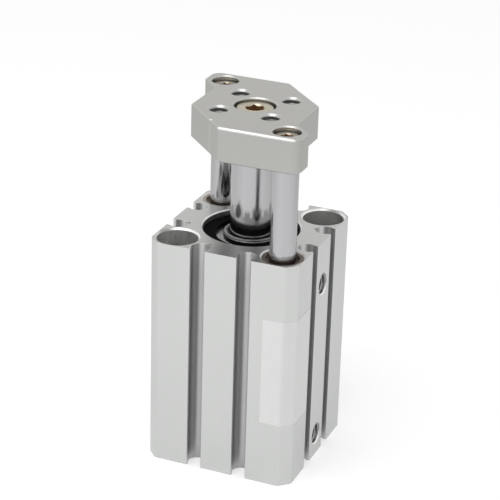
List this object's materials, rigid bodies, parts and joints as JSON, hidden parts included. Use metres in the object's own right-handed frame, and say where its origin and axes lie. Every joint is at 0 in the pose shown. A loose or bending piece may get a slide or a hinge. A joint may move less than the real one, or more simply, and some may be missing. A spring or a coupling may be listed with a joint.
{
  "type": "guided compact pneumatic cylinder",
  "caption": "Square-bodied compact air cylinder with a piston rod between guide rods under an end plate, slotted for switches and ported on one face.",
  "frame": {"origin": "bottom centre of the body, on the cylinder axis at the head end face", "axes": "+Z along the piston rod, out of the body; +X out of the face with the two ports"},
  "size_m": [0.036, 0.036, 0.0845],
  "materials": {
    "body_anodised": "extruded aluminium, clear satin anodised",
    "plate_anodised": "machined aluminium, clear anodised",
    "turned_aluminium": "turned aluminium, anodised",
    "ground_rod": "hard chromed, ground and polished",
    "sintered_bronze": "oil-soaked sintered bronze",
    "black_spring_steel": "phosphated black",
    "nickel_screw": "nickel plated",
    "seal_rubber": "nitrile rubber",
    "bumper_rubber": "polyurethane",
    "ferrite": "plastic-bonded ferrite magnet",
    "wear_resin": "filled resin"
  },
  "bodies": {
    "cylinder": {"cylinder_tube": "body_anodised", "head_plate": "turned_aluminium", "rod_cover": "turned_aluminium", "rod_cover_gasket": "seal_rubber", "rod_seal": "seal_rubber", "retaining_ring": "black_spring_steel", "front_guide_bushing_upper": "sintered_bronze", "front_guide_bushing_lower": "sintered_bronze", "rear_guide_bushing_upper": "sintered_bronze", "rear_guide_bushing_lower": "sintered_bronze"},
    "rod_assembly": {"piston": "turned_aluminium", "piston_seal": "seal_rubber", "magnet": "ferrite", "wear_ring": "wear_resin", "rod_side_bumper": "bumper_rubber", "head_side_bumper": "bumper_rubber", "piston_rod": "ground_rod", "front_guide_rod": "ground_rod", "rear_guide_rod": "ground_rod", "end_plate": "plate_anodised", "centre_screw": "nickel_screw", "guide_rod_screws": "nickel_screw"}
  },
  "joints": [
    {"name": "rod_slide", "type": "slide", "parent": "cylinder", "child": "rod_assembly", "axis": [0, 0, 1], "range_m": [-0.017, 0.008]}
  ]
}
